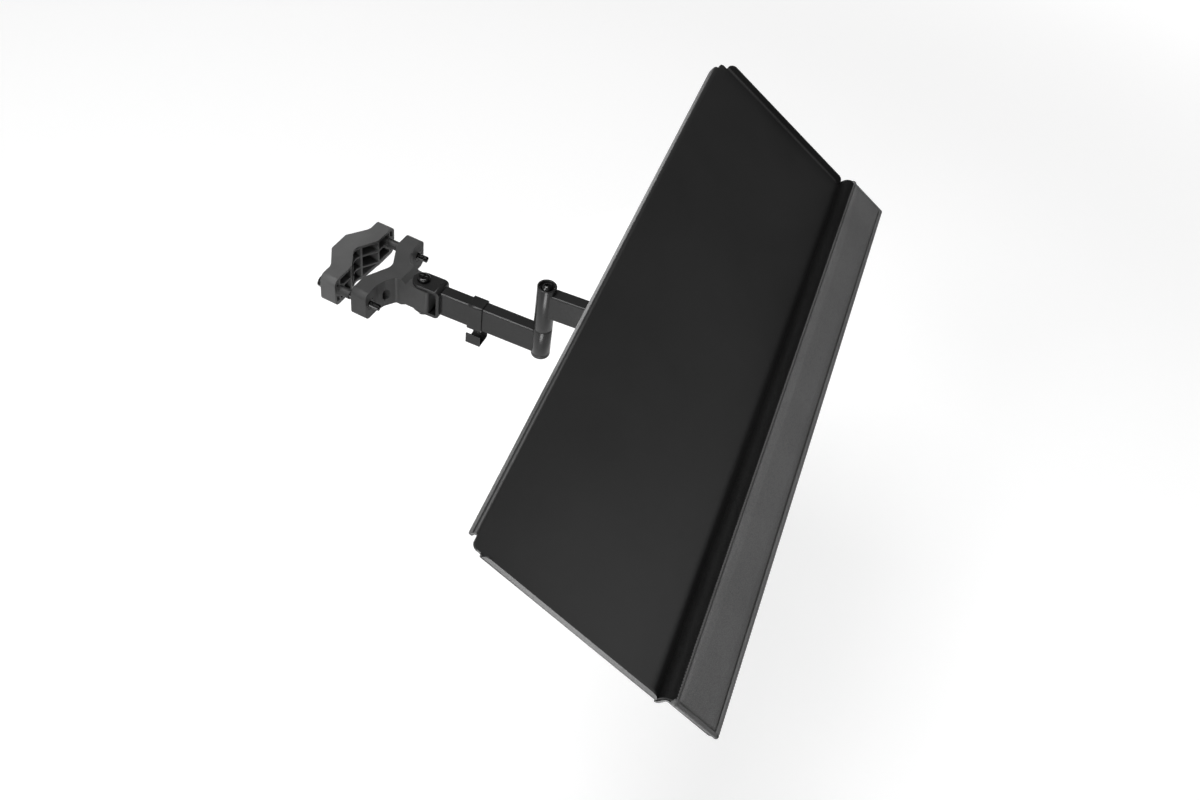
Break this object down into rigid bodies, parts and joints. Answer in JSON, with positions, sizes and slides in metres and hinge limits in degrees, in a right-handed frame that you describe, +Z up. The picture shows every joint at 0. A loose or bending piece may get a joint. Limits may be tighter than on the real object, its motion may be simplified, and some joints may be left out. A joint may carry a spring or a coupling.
{
  "type": "keyboard tray",
  "caption": "Wide sheet-steel keyboard tray with a padded wrist rest, on a tilting head and a swivelling two-link arm that clamps to a round pole.",
  "frame": {"origin": "on the pole's axis, at the mid height of the pole clamp", "axes": "+Z up along the pole, -Y from the pole through the front jaw towards the user, +X to the user's right"},
  "size_m": [0.6704, 0.5219, 0.1606],
  "materials": {
    "powder_coat": "fine matt black powder coat",
    "black_nylon": "moulded matt black nylon",
    "black_zinc": "black zinc plated steel",
    "bright_steel": "turned bright steel",
    "white_nylon": "natural nylon",
    "pad_cover": "fine grained black leatherette over foam",
    "board": "pressed fibre board"
  },
  "bodies": {
    "clamp": {"front_jaw": "black_nylon", "clamp_nuts": "black_zinc", "base_bushes": "black_nylon"},
    "back_jaw": {"rear_jaw": "black_nylon"},
    "left_bolt": {"clamp_bolt_left": "black_zinc"},
    "right_bolt": {"clamp_bolt_right": "black_zinc"},
    "lower_arm": {"arm_fork": "powder_coat", "base_screw": "black_zinc", "base_washer": "black_zinc", "base_nut": "black_zinc", "lower_tube": "powder_coat", "lower_barrel": "powder_coat", "elbow_post": "bright_steel", "elbow_cap": "black_nylon", "elbow_washer": "black_zinc", "elbow_screw": "black_zinc"},
    "cable_holder": {"cable_clip": "powder_coat"},
    "upper_arm": {"upper_tube": "powder_coat", "upper_barrel": "powder_coat", "elbow_bushes": "white_nylon", "elbow_thrust_ring": "black_nylon", "head_barrel": "powder_coat", "head_bushes": "white_nylon"},
    "tilt_head": {"head_fork": "powder_coat", "head_screw": "black_zinc", "head_washer": "black_zinc", "head_nut": "black_zinc", "tilt_barrel": "powder_coat", "tilt_bushes": "white_nylon", "friction_discs": "black_nylon"},
    "tray": {"tray_bracket": "powder_coat", "tilt_bolt": "black_zinc", "tilt_washers": "black_zinc", "tilt_nut": "black_zinc", "tray_studs": "bright_steel", "stud_nuts": "black_zinc", "tray_pan": "powder_coat", "wrist_pad": "pad_cover", "wrist_board": "board"}
  },
  "joints": [
    {"name": "left_bolt_turn", "type": "hinge", "parent": "back_jaw", "child": "left_bolt", "pos_m": [-0.04, 0, 0], "axis": [0, -1, 0], "range_deg": [-3065, 5045]},
    {"name": "right_bolt_turn", "type": "hinge", "parent": "back_jaw", "child": "right_bolt", "pos_m": [0.04, 0, 0], "axis": [0, -1, 0], "range_deg": [-3065, 5045]},
    {"name": "jaw_slide", "type": "slide", "parent": "clamp", "child": "back_jaw", "axis": [0, -1, 0], "range_m": [-0.0085, 0.014]},
    {"name": "base_swivel", "type": "hinge", "parent": "clamp", "child": "lower_arm", "pos_m": [0, -0.05544, 0], "axis": [0, 0, 1], "range_deg": [-75, 75]},
    {"name": "elbow_swivel", "type": "hinge", "parent": "lower_arm", "child": "upper_arm", "pos_m": [0.00819, -0.17716, 0], "axis": [0, 0, 1], "range_deg": [-90, 90]},
    {"name": "head_swivel", "type": "hinge", "parent": "upper_arm", "child": "tilt_head", "pos_m": [0.01875, -0.2766, 0.0474], "axis": [0, 0, -1], "range_deg": [-90, 90]},
    {"name": "tray_tilt", "type": "hinge", "parent": "tilt_head", "child": "tray", "pos_m": [0.0222, -0.29838, 0.056], "axis": [0.9877, 0.1564, 0], "range_deg": [-35, 25]},
    {"name": "clip_slide", "type": "slide", "parent": "lower_arm", "child": "cable_holder", "axis": [0.0671, -0.9977, 0], "range_m": [-0.0265, 0.0465]}
  ],
  "couplings": [
    {"joint": "left_bolt_turn", "follows": "jaw_slide", "rad_per_m": 6283.2},
    {"joint": "right_bolt_turn", "follows": "jaw_slide", "rad_per_m": 6283.2}
  ]
}
